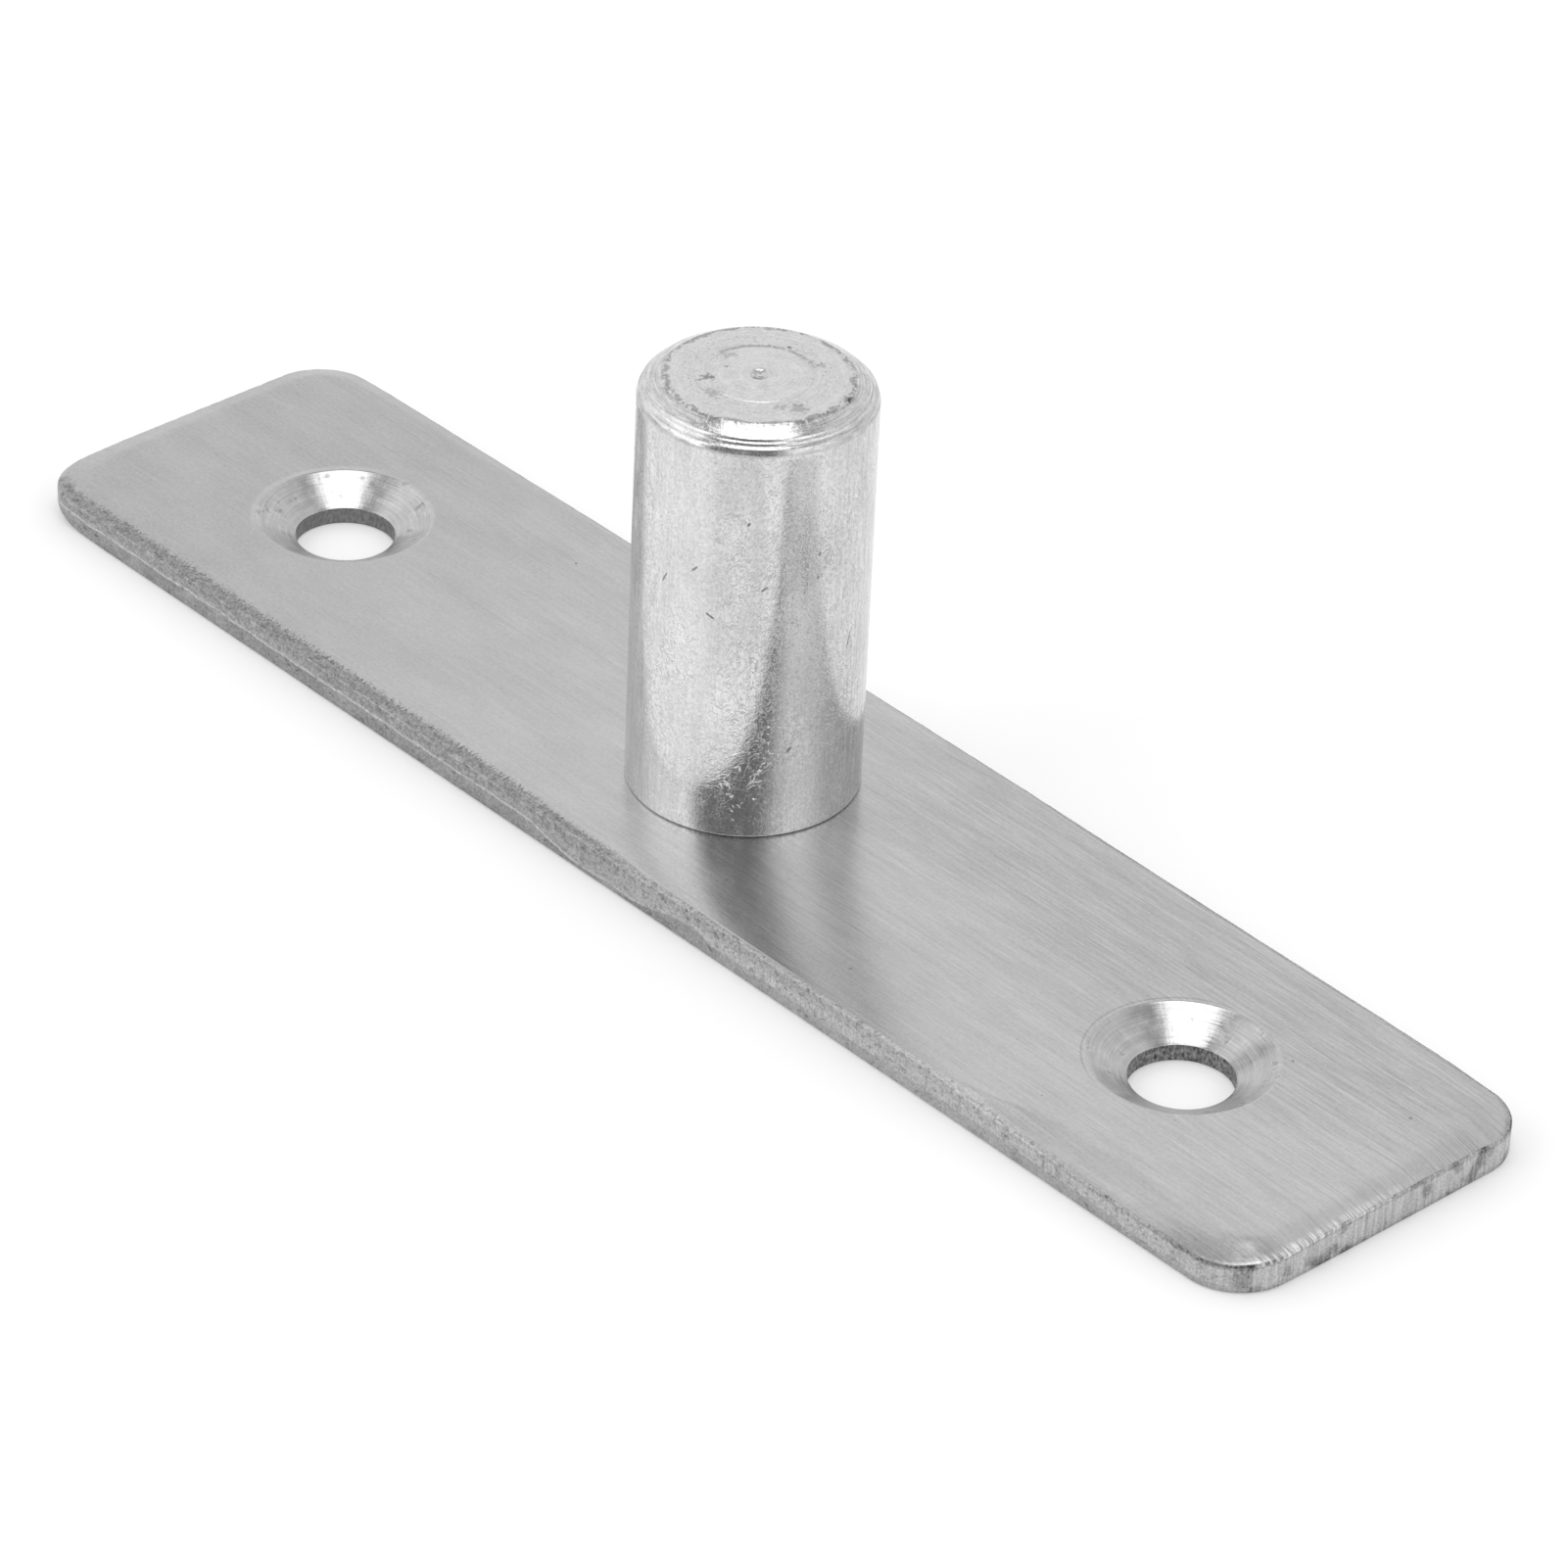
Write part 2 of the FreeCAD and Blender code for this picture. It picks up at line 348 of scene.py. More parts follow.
# The press left upright shear marks on the ends and dents on the long edges.
x, y = strip.split(place)[:2]
from_end = strip.math("SUBTRACT", strip.math("DIVIDE", given["Length"], 2), strip.math("ABSOLUTE", x))
on_end = strip.fade(from_end, 0.3 * mm, 2.0 * mm)
down_the_side = strip.math("MULTIPLY", on_side, strip.math("DIVIDE", given["Thickness"], mm))
mark_x, mark_y = strip.split(strip.scaled(place, 1 / mm))[:2]
shear_place = strip.joined(mark_x, mark_y, strip.math("MULTIPLY", down_the_side, 0.15))
shear_marks = strip.noise(strip.scaled(shear_place, 2.2), detail=3)
dent_place = strip.joined(
    strip.math("MULTIPLY", mark_x, 0.7),
    mark_y,
    strip.math("MULTIPLY", down_the_side, 1.5),
)
dents = strip.noise(dent_place, detail=3)
ragged = strip.blend(on_end, dents, shear_marks)

# The roll reaches in by about four times its drop. On the near edge, right of the pin,
# the face stays flat further out and the roll is a short one.
right_of_pin = strip.product(strip.smooth(x, -4 * mm, 6 * mm), strip.fade(x, 30 * mm, 42 * mm))
short_roll = strip.product(right_of_pin, strip.fade(y, -12 * mm, -11 * mm))
roll = round_the_edge(1)
reach_by_drop = strip.blend(short_roll, 4.2, 0.5)
roll_reach = strip.math("MULTIPLY_ADD", roll, reach_by_drop, 0.3 * mm)
roll_reach = strip.math("MINIMUM", roll_reach, margin - 0.1 * mm)
edge_break = round_the_edge(2)
break_turn = strip.math("MULTIPLY", on_break, math.pi / 2)

# The front face bends down over the bend's share, then goes evenly to a round crest.
bend = 0.4
steepness = 1 / (1 - bend / 2)
roll_slope = strip.math("ARCTAN2", strip.product(roll, steepness), roll_reach)
crest_turn = strip.blend(on_crest, roll_slope, math.pi / 2)
crest_in = strip.product(given["Crest Radius"], strip.rest(strip.math("SINE", crest_turn)))
crest_edge = strip.product(given["Crest Radius"], strip.rest(strip.math("SINE", roll_slope)))
margin_in = strip.product(strip.math("SUBTRACT", margin, roll_reach), strip.rest(on_margin))
roll_in = strip.product(strip.math("SUBTRACT", roll_reach, crest_edge), strip.rest(on_roll))
break_in = strip.product(edge_break, strip.rest(strip.math("COSINE", break_turn)))
under_in = strip.product(on_under, strip.math("SUBTRACT", margin, edge_break))
marks_in = strip.product(strip.rest(ragged), given["Shear Mark Depth"], on_crest, strip.rest(on_under))
inwards = strip.total(margin_in, roll_in, crest_in, break_in, under_in, marks_in)

bent = strip.math("MINIMUM", on_roll, bend)
even = strip.math("SUBTRACT", on_roll, bent)
gone_down = strip.math("ADD", strip.product(bent, bent, 0.5 / bend), even)
roll_down = strip.product(roll, steepness, gone_down)
crest_cosine = strip.math("COSINE", roll_slope)
crest_down = strip.math("SUBTRACT", crest_cosine, strip.math("COSINE", crest_turn))
crest_down = strip.product(given["Crest Radius"], crest_down)
taken = strip.total(roll, strip.product(given["Crest Radius"], crest_cosine), edge_break)
side_height = strip.math("SUBTRACT", given["Thickness"], taken)
side_down = strip.product(side_height, on_side)
break_down = strip.product(edge_break, strip.math("SINE", break_turn))
on_rim = strip.product(strip.smooth(on_roll, 0.7, 1.0), strip.rest(on_side))
crest_wave = strip.product(strip.ramp(ragged, 0.2, 0.8, -1.0, 1.0), given["Shear Mark Depth"], on_rim)
drop = strip.total(roll_down, crest_down, side_down, break_down, crest_wave)
height = strip.math("SUBTRACT", given["Thickness"], drop)
shifted = strip.vector("SUBTRACT", place, strip.scaled(out, inwards))
edge_point = strip.vector("ADD", shifted, strip.joined(0.0, 0.0, height))
band = strip.add("GeometryNodeSetPosition", {"Geometry": band, "Position": edge_point}).outputs[0]
band = strip.add("GeometryNodeFlipFaces", {"Mesh": band}).outputs[0]

# Its finish reads where it is: millimetres in from the crest, the share of the roll
# gone down, and millimetres down the side.
along_edge = strip.joined(strip.product(roll_in, 1 / mm), on_roll, strip.product(side_down, 1 / mm))
band = strip.add(
    "GeometryNodeStoreNamedAttribute",
    {"Geometry": band, "Name": "edge", "Value": along_edge},
    domain="POINT",
    data_type="FLOAT_VECTOR",
).outputs[0]


def hole_row(instance):
    """The instance at each of the two screw holes."""
    places = strip.add("GeometryNodeMeshLine", {
        "Count": 2,
        "Start Location": strip.joined(strip.math("DIVIDE", given["Hole Spacing"], -2)),
        "Offset": strip.joined(given["Hole Spacing"]),
    }).outputs[0]
    copies = strip.add("GeometryNodeInstanceOnPoints", {"Points": places, "Instance": instance})
    return strip.add("GeometryNodeRealizeInstances", {0: copies.outputs[0]}).outputs[0]


def ring(radius):
    """Circle of points that meets a turned form's end."""
    inputs = {"Resolution": given["Steps Round"], "Radius": radius}
    return strip.add("GeometryNodeCurvePrimitiveCircle", inputs).outputs["Curve"]


def joined(*parts):
    """Several geometries as one."""
    node = strip.add("GeometryNodeJoinGeometry")
    for part in reversed(parts):
        strip.tree.links.new(part, node.inputs[0])
    return node.outputs[0]


def flat_face(hole_radius, seat_radius):
    """Flat face inside the band's margin, at z = 0, open at the holes and the seat."""
    back = strip.vector("MULTIPLY", outward, (-margin, -margin, 0))
    inner = strip.add("GeometryNodeSetPosition", {"Geometry": outline, "Offset": back}).outputs[0]
    rings = joined(inner, hole_row(ring(hole_radius)), ring(seat_radius))
    return strip.add("GeometryNodeFillCurve", {"Curve": rings}, mode="TRIANGLES").outputs[0]


front = flat_face(given["Hole Rim Radius"], given["Seat Radius"])
lift = strip.joined(0.0, 0.0, given["Thickness"])
front = strip.add("GeometryNodeSetPosition", {"Geometry": front, "Offset": lift}).outputs[0]
back = flat_face(given["Hole Foot Radius"], given["Seat Foot Radius"])
back = strip.add("GeometryNodeFlipFaces", {"Mesh": back}).outputs[0]


def turned_part(profile):
    """The turned form of a profile, as part of the plate."""
    inputs = {"Profile": given[profile], "Steps Round": given["Steps Round"]}
    node = strip.tree.nodes.new("GeometryNodeGroup")
    node.node_tree = turned.tree
    for socket, value in inputs.items():
        strip.feed(node.inputs[socket], value)
    return node.outputs[0]


def finished(geometry, finish):
    """The geometry in one of the given finishes."""
    inputs = {"Geometry": geometry, "Material": given[finish]}
    return strip.add("GeometryNodeSetMaterial", inputs).outputs[0]


faces = finished(joined(band, front, back), "Face Finish")
screw_holes = hole_row(turned_part("Hole Profile"))
holes = finished(joined(screw_holes, turned_part("Seat Profile")), "Hole Finish")
whole = joined(faces, holes)
whole = strip.add("GeometryNodeMergeByDistance", {"Geometry": whole, "Distance": 2e-6}).outputs[0]
strip.feed(result[0], strip.add("GeometryNodeRealizeInstances", {0: whole}).outputs[0])


def made_mesh(name, tree, values, soft_angle=40):
    """Plain mesh object that a geometry tree gives, with the tree taken off again."""
    carrier = bpy.data.objects.new(name + "_tree", bpy.data.meshes.new(name + "_tree"))
    bpy.context.scene.collection.objects.link(carrier)
    modifier = carrier.modifiers.new("shape", "NODES")
    modifier.node_group = tree
    for item in tree.interface.items_tree:
        if item.in_out == "INPUT" and item.name in values:
            modifier[item.identifier] = values[item.name]
    carrier.update_tag()
    graph = bpy.context.evaluated_depsgraph_get()
    mesh = bpy.data.meshes.new_from_object(carrier.evaluated_get(graph), depsgraph=graph)
    bpy.data.objects.remove(carrier)
    mesh.name = name
    mesh.polygons.foreach_set("use_smooth", [True] * len(mesh.polygons))
    mesh.set_sharp_from_angle(angle=math.radians(soft_angle))
    piece = bpy.data.objects.new(name, mesh)
    bpy.context.scene.collection.objects.link(piece)
    return piece


def steel(name):
    """New metal finish: its tree, its shader and its place on the object in millimetres."""
    material = bpy.data.materials.new(name)
    material.use_nodes = True
    finish = Tree(material.node_tree)
    shader = material.node_tree.nodes["Principled BSDF"]
    shader.inputs["Metallic"].default_value = 1.0
    coordinates = finish.add("ShaderNodeTexCoord").outputs["Object"]
    return material, finish, shader, finish.scaled(coordinates, 1 / mm)


def mask_group(name, inputs):
    """Shader node group with named inputs, as name: (socket type, value), and one value out."""
    tree = bpy.data.node_groups.new(name, "ShaderNodeTree")
    for label, (kind, value) in inputs.items():
        socket = tree.interface.new_socket(label, in_out="INPUT", socket_type=f"NodeSocket{kind}")
        socket.default_value = value
    tree.interface.new_socket("Value", in_out="OUTPUT", socket_type="NodeSocketFloat")
    effect = Tree(tree)
    return effect, effect.add("NodeGroupInput").outputs, effect.add("NodeGroupOutput").inputs[0]


def use(finish, effect, **values):
    """Place of a shared effect in a finish. Underscores in a name stand for spaces."""
    node = finish.tree.nodes.new("ShaderNodeGroup")
    node.node_tree = effect.tree
    for label, value in values.items():
        finish.feed(node.inputs[label.replace("_", " ").title()], value)
    return node.outputs[0]


# Grain: noise drawn out to a cell of a given size, such as brushed lines.
grain, given_grain, grain_out = mask_group("grain", {
    "Place": ("Vector", (0, 0, 0)),
    "Cell": ("Vector", (1, 1, 1)),
    "Detail": ("Float", 3.0),
    "Curl": ("Float", 0.0),
})
grain_place = grain.vector("DIVIDE", given_grain["Place"], given_grain["Cell"])
grain.feed(grain_out, grain.noise(grain_place, given_grain["Detail"], given_grain["Curl"]))

# Specks: separate small spots of uneven size and shape.
specks, given_specks, specks_out = mask_group("specks", {
    "Place": ("Vector", (0, 0, 0)),
    "Spacing": ("Float", 2.0),
    "Size": ("Float", 0.1),
})
spaced = specks.vector("DIVIDE", given_specks["Place"], specks.joined(*[given_specks["Spacing"]] * 3))
dots = specks.add("ShaderNodeTexVoronoi", {"Vector": spaced, "Scale": 1.0})
luck = specks.split(dots.outputs["Color"])[0]
ragged_rim = specks.noise(specks.scaled(spaced, 14), detail=2)
unevenness = specks.span(ragged_rim, 0.3, 1.7)
reach = specks.product(specks.math("POWER", luck, 5.0), given_specks["Size"], unevenness)
from_speck = specks.math("SUBTRACT", dots.outputs["Distance"], reach)
specks.feed(specks_out, specks.fade(from_speck, -0.02, 0.01))

# Tool rings: fine marks round an axis, left by a cutter or a turning tool.
rings, given_rings, rings_out = mask_group("tool_rings", {
    "Place": ("Vector", (0, 0, 0)),
    "Pitch": ("Float", 0.1),
    "Breaks": ("Float", 0.12),
})
ring_x, ring_y = rings.split(given_rings["Place"])[:2]
ring_radius = rings.vector("LENGTH", rings.joined(ring_x, ring_y, 0.0))
ring_place = rings.joined(
    rings.math("DIVIDE", ring_radius, given_rings["Pitch"]),
    rings.product(ring_x, given_rings["Breaks"]),
    rings.product(ring_y, given_rings["Breaks"]),
)
rings.feed(rings_out, rings.noise(ring_place, detail=3.0))

# Finish of the plate's faces: brushed along X, with more lines towards the right end.
plate_finish, face, face_shader, face_place = steel("brushed_plate_steel")
face_x, face_y, face_z = face.split(face_place)
fine_lines = use(face, grain, place=face_place, cell=(2.6, 0.10, 4.0), detail=2.5)
long_lines = use(face, grain, place=face_place, cell=(9.0, 0.17, 4.0), detail=2.0)
felt = use(face, grain, place=face_place, cell=(0.28, 0.18, 0.3), detail=3.0)
cloudy = use(face, grain, place=face_place, cell=(6.0, 2.6, 4.0), detail=4.0)
dirt = use(face, specks, place=face_place, spacing=1.7, size=0.075)
lined = face.product(face.ramp(face_x, -35, 50, 0.38, 1.30), face.ramp(face_y, -9, 8, 0.68, 1.25))
line_tone = face.product(face.ramp(fine_lines, 0.2, 0.8, -0.062, 0.062), lined)
long_tone = face.product(face.ramp(long_lines, 0.25, 0.75, -0.040, 0.040), lined)
felt_tone = face.span(felt, -0.030, 0.030)
cloud_tone = face.span(cloudy, -0.022, 0.022)
# The face's base tone is lower towards the left end and over the far half right of the middle.
far_half = face.product(face.smooth(face_y, -4, 8), face.smooth(face_x, -5, 12))
tone_by_place = face.total(face.ramp(face_x, -45, -5, 0.450, 0.520), face.product(far_half, -0.045))
top_tone = face.total(tone_by_place, line_tone, long_tone, felt_tone, cloud_tone)
top_tone = face.math("SUBTRACT", top_tone, face.product(dirt, 0.22))

# The cutter touched the face round the right hole. A soft highlight is painted along the left side of
# the left hole's rim.
hole_half = hole_spacing / 2 / mm
touched_radius = 6.16
rim_highlight_radius = 6.1


def from_ring(hole_x, ring_radius):
    """Distance on the face to a ring round the hole at hole_x, in millimetres."""
    from_hole = face.vector("SUBTRACT", face_place, (hole_x, 0, plate_thickness / mm))
    return face.apart(face.vector("LENGTH", from_hole), ring_radius)


touched = face.fade(from_ring(hole_half, touched_radius), 0.03, 0.11)
touched = face.product(touched, face.smooth(face_x, 35, 40, 1.0, 0.1))
# Painted highlight: a lighter ring on the left side of the left hole's rim.
painted_rim_highlight = face.fade(from_ring(-hole_half, rim_highlight_radius), 0.05, 0.35)
painted_rim_highlight = face.product(painted_rim_highlight, face.fade(face_x, -43.5, -41.5))
top_tone = face.total(top_tone, face.product(touched, -0.10), face.product(painted_rim_highlight, 0.06))

# Its ends are sheared, with upright marks and dark patches, and darker by the back.
edge = face.add("ShaderNodeAttribute", attribute_name="edge").outputs["Vector"]
inside, on_roll, below_crest = face.split(edge)
depth = face.math("SUBTRACT", plate_thickness / mm, face_z)
striae = use(face, grain, place=face_place, cell=(0.22, 0.22, 2.6), detail=4.0)
pitted = use(face, grain, place=face_place, cell=(0.15, 0.15, 0.14), detail=4.0)
patchy = use(face, grain, place=face_place, cell=(1.7, 1.7, 1.5), detail=3.0)
end_tone = face.total(
    face.span(striae, 0.40, 0.62),
    face.smooth(patchy, 0.50, 0.66, 0.0, -0.22),
    face.span(pitted, -0.12, 0.12),
    face.smooth(depth, 2.1, 2.6, 0.0, -0.12),
)

# Its long edges are dull and pitted down from the roll, least so at the right. A
# light line, which widens to a band at the right, divides that from grey metal.
wander = face.span(patchy, -0.09, 0.09)
wavy_depth = face.math("ADD", depth, wander)
by_the_pin = face.smooth(face.apart(face_x, 1.5), 2.0, 9.0, 0.95, 0.0)
dull_foot = face.math("ADD", face.ramp(face_x, -10, 10, 1.31, 0.98), by_the_pin)
light_foot = face.math("ADD", dull_foot, 0.13)
light_foot = face.math("MAXIMUM", light_foot, face.smooth(face_x, 6, 12, 0.0, 1.66))
light_foot = face.math("ADD", light_foot, face.smooth(face_x, 42, 52, 0.0, 0.45))
below_dull = face.math("SUBTRACT", wavy_depth, dull_foot)
below_light = face.math("SUBTRACT", wavy_depth, light_foot)
dull = face.product(face.fade(below_dull, -0.08, 0.04), face.smooth(face_x, 8, 38, 1.0, 0.3))
clumps = use(face, grain, place=face_place, cell=(0.55, 0.40, 0.40), detail=4.0)
grey_tone = face.total(
    face.span(pitted, 0.24, 0.44),
    face.span(patchy, -0.05, 0.05),
    face.smooth(clumps, 0.60, 0.68, 0.0, -0.12),
    face.smooth(face_x, 5, 20, 0.0, 0.07),
)
light_tone = face.total(
    face.span(pitted, 0.36, 0.62),
    face.span(striae, -0.06, 0.06),
    face.smooth(clumps, 0.54, 0.66, 0.0, -0.14),
    face.smooth(face_x, -2, 8, 0.06, 0.0),
)
dull_tone = face.total(
    face.ramp(depth, 0.0, 1.4, 0.27, 0.38),
    face.span(pitted, -0.12, 0.12),
    face.span(clumps, -0.08, 0.08),
    face.smooth(face_x, -1, 7, 0.0, 0.09),
    face.product(face.smooth(clumps, 0.54, 0.64), face.smooth(face_x, -1, 7, 0.0, -0.20)),
)
long_edge_tone = face.blend(face.smooth(below_light, -0.05, 0.08), light_tone, grey_tone)
long_edge_tone = face.blend(dull, long_edge_tone, dull_tone)
on_end = face.smooth(face.math("ABSOLUTE", face_x), 54.5, 56.8)
edge_tone = face.blend(on_end, long_edge_tone, end_tone)

# Towards the right end a painted dark reflection runs along the crest.
painted_crest_shade = face.fade(below_crest, 0.10, 0.24)
painted_crest_shade = face.product(painted_crest_shade, face.smooth(face_x, 36, 48, 0.0, -0.12))
edge_tone = face.math("ADD", edge_tone, painted_crest_shade)

# The dull band reaches a little way on to the near side's front, with a speckled fringe.
near_side = face.math("MULTIPLY", face.fade(face_y, -9, -7), face.rest(on_end))
fringe = face.total(face.ramp(face_x, -10, 46, 0.34, 0.04), face.smooth(face_x, -14, 2, 0.26, 0.0))
fringe = face.product(near_side, fringe)
whiskers = use(face, grain, place=face_place, cell=(0.11, 0.55, 0.30), detail=3.0)
speckle = face.total(face.span(whiskers, -0.38, 0.38), face.span(pitted, -0.30, 0.30))
speckle = face.product(speckle, face.math("MINIMUM", fringe, 0.8))
fringe_end = face.math("ADD", fringe, 0.40)
to_edge = face.fade(face.math("ADD", inside, speckle), fringe, fringe_end)
to_edge = face.product(to_edge, face.smooth(on_roll, 0.2, 0.5), face.smooth(fringe, 0.0, 0.1))
on_crest = face.product(face.fade(inside, 0.0, 0.06), face.smooth(on_roll, 0.6, 0.9))
to_edge = face.math("MAXIMUM", to_edge, on_crest)
to_edge = face.math("MAXIMUM", to_edge, face.ramp(below_crest, 0.0, 0.03))
tone = face.blend(to_edge, top_tone, edge_tone)

# The right end's near part has a ragged burr with painted bright glints on its teeth,
# the corner before it has painted shade to hold down its highlight, and the far
# edge's rim is dull.
# Painted highlight: bright glints on the burr's teeth.
glints_along = face.product(face.smooth(face_y, -11.5, -9.5), face.fade(face_y, 0.5, 3.5))
painted_burr_glints = face.product(glints_along, face.smooth(face_x, 54, 56), face.fade(inside, 0.15, 0.7))
teeth = use(face, grain, place=face_place, cell=(1.3, 0.15, 1.3), detail=3.0)
painted_burr_glints = face.product(painted_burr_glints, face.smooth(teeth, 0.42, 0.60), face.fade(below_crest, 0.0, 0.1))
above_crest = face.fade(below_crest, 0.0, 0.03)
# Painted shade: the near right corner's roll is darkened to hold down its highlight.
painted_corner_shade = face.product(
    face.smooth(face_x, 49, 53),
    face.fade(face_y, -10, -8),
    face.smooth(on_roll, 0.1, 0.4),
    face.fade(inside, 0.4, 2.4),
)
far_rim = face.product(face.smooth(face_y, 9, 11), face.smooth(face_x, 5, 22), above_crest)
far_rim = face.product(far_rim, face.fade(inside, 0.10, 0.45))
tone = face.total(
    tone,
    face.product(painted_corner_shade, above_crest, -0.13),
    face.product(painted_burr_glints, face.ramp(face_y, -10.5, 1.0, 0.42, 0.14)),
    face.product(far_rim, face.span(pitted, -0.22, -0.02)),
)
face.feed(face_shader.inputs["Base Color"], face.math("MAXIMUM", tone, 0.05))
top_roughness = face.ramp(fine_lines, 0.2, 0.8, 0.21, 0.27)
edge_roughness = face.ramp(pitted, 0.2, 0.8, 0.38, 0.52)
face.feed(face_shader.inputs["Roughness"], face.blend(to_edge, top_roughness, edge_roughness))
line_height = face.total(face.product(fine_lines, 0.0018), face.product(felt, 0.0020))
edge_height = face.blend(on_end, face.product(pitted, 0.04), face.product(striae, 0.03))

# Right of the pin the front starts to bend down well before the roll, by a slope so
# slight that only its reflection shows it.
crown_start = -2.5
crown_width = 7.0
crown_slope = 0.075
past_start = face.math("MAXIMUM", face.math("SUBTRACT", crown_start, face_y), 0.0)
bending = face.math("MINIMUM", past_start, crown_width)
straight = face.math("SUBTRACT", past_start, bending)
crown = face.math("ADD", face.product(bending, bending, 0.5 / crown_width), straight)
crown = face.product(crown, -crown_slope, face.smooth(face_x, -8, 8), face.fade(face_x, 20, 50))
face_height = face.math("ADD", face.blend(to_edge, line_height, edge_height), crown)
face_bump = face.add("ShaderNodeBump", {"Distance": mm, "Height": face_height})
face.feed(face_shader.inputs["Normal"], face_bump.outputs[0])

# Finish of the holes: bright cutter rings and chatter on the cone, a dull drilled bore.
hole_finish, cut, cut_shader, cut_place = steel("countersink_steel")
cut_x, cut_y, cut_z = cut.split(cut_place)
hole_x = cut.math("SUBTRACT", cut_x, cut.product(cut.math("SIGN", cut_x), hole_half))
hole_place = cut.joined(hole_x, cut_y, cut_z)
cutter_rings = use(cut, rings, place=hole_place, pitch=0.10, breaks=0.35)
bearing = cut.math("ARCTAN2", cut_y, hole_x)
chatter_place = cut.joined(bearing, cut.math("MULTIPLY", cut_z, 0.25), 0.0)
chatter = use(cut, grain, place=chatter_place, cell=(0.035, 1.0, 1.0), detail=3.0)
smear = use(cut, grain, place=cut_place, cell=(0.9, 0.9, 0.9), detail=4.0)
bore_marks = use(cut, grain, place=cut_place, cell=(0.17, 0.17, 0.32), detail=3.0)
in_bore = cut.fade(cut_z, bore_top / mm - 0.06, bore_top / mm + 0.02)
cone_tone = cut.total(
    cut.ramp(cutter_rings, 0.25, 0.75, 0.43, 0.60),
    cut.span(smear, -0.06, 0.05),
    cut.smooth(smear, 0.60, 0.72, 0.0, -0.18),
    cut.product(cut.span(chatter, 0.06, -0.08), cut.smooth(smear, 0.46, 0.60)),
)
left_bore = cut.ramp(bore_marks, 0.25, 0.75, 0.14, 0.32)
right_bore = cut.span(bore_marks, 0.05, 0.38)
bore_tone = cut.blend(cut.smooth(cut_x, -1, 1), left_bore, right_bore)
cut.feed(cut_shader.inputs["Base Color"], cut.blend(in_bore, cone_tone, bore_tone))
cone_front = cut.smooth(cut.math("SUBTRACT", hole_x, cut_y), 0.5, 4.0)
cone_roughness = cut.total(cut.span(smear, 0.17, 0.28), cut.product(cone_front, 0.16))
cut.feed(cut_shader.inputs["Roughness"], cut.blend(in_bore, cone_roughness, 0.5))
cone_height = cut.total(
    cut.product(cutter_rings, 0.005),
    cut.product(chatter, 0.002),
    cut.product(smear, 0.01),
)
cut_height = cut.blend(in_bore, cone_height, cut.product(bore_marks, 0.05))
cut_bump = cut.add("ShaderNodeBump", {"Distance": mm, "Height": cut_height})
cut.feed(cut_shader.inputs["Normal"], cut_bump.outputs[0])

hole_profile = profile_object("hole_profile", hole_points)
seat_profile = profile_object("seat_profile", seat_points)
plate = made_mesh("mounting_plate_steel", strip.tree, {
    "Hole Profile": hole_profile,
    "Seat Profile": seat_profile,
    "Face Finish": plate_finish,
    "Hole Finish": hole_finish,
})
for helper in (hole_profile, seat_profile):
    bpy.data.objects.remove(helper)
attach(plate, "root")
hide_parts("mounting_plate")

# Pivot pin: bar steel turned in one piece, zinc plated. Its tenon goes through the
# plate and is riveted over in the back. The top is faced, with a disc left by the
# last facing cut and a dimple in its middle, and chamfered by two tool passes.
pin_low, pin_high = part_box("pivot_pin")
pin_radius = mounts["pivot_pin"]["dims"]["r_mm"] * mm
disc_top = pin_high.z
pin_top = disc_top - 0.06 * mm
head_height = pin_low.z
head_radius = 5.6 * mm
base_break = 0.2 * mm
top_flat_radius = 5.875 * mm

# Chamfer and shoulder, from the cylinder up: steep walls and flatter ledges that two
# passes of the tool left, as radius and drop below the top in millimetres.
shoulder = [
    (7.50, 1.43), (7.475, 1.33), (7.44, 1.22), (7.40, 1.12), (7.36, 1.03), (7.33, 1.00),
    (7.22, 0.935), (7.12, 0.875), (7.09, 0.84), (7.05, 0.745), (7.02, 0.72), (6.93, 0.67),
    (6.91, 0.65), (6.86, 0.56), (6.84, 0.54),
]
shoulder_foot = pin_top / mm - shoulder[0][1]
disc_radius = 3.3 * mm
dimple = [(0.70, 0.0), (0.63, 0.03), (0.48, 0.105), (0.32, 0.15), (0.16, 0.165), (0.0, 0.17)]

quarter = math.pi / 2
pin_points = [(0.0, head_height)]
pin_points += stretch(pin_points[-1], (head_radius, head_height), 10)
pin_points += [(tenon_radius, seat_depth), (tenon_radius, plate_thickness)]
pin_points += stretch(pin_points[-1], (pin_radius - base_break, plate_thickness), 3)
for step in range(1, 5):
    turn = quarter * step / 4
    pin_points.append((
        pin_radius - base_break * (1 - math.sin(turn)),
        plate_thickness + base_break * (1 - math.cos(turn)),
    ))
shoulder_points = [(radius * mm, pin_top - drop * mm) for radius, drop in shoulder]
pin_points += stretch(pin_points[-1], shoulder_points[0], 110)
pin_points += shoulder_points[1:]
pin_points += stretch(pin_points[-1], (top_flat_radius, pin_top), 10)
pin_points += stretch(pin_points[-1], (disc_radius + 0.085 * mm, pin_top), 16)
pin_points += stretch(pin_points[-1], (disc_radius, disc_top), 2)
pin_points += stretch(pin_points[-1], (dimple[0][0] * mm, disc_top), 14)
pin_points += [(radius * mm, disc_top - drop * mm) for radius, drop in dimple[1:]]

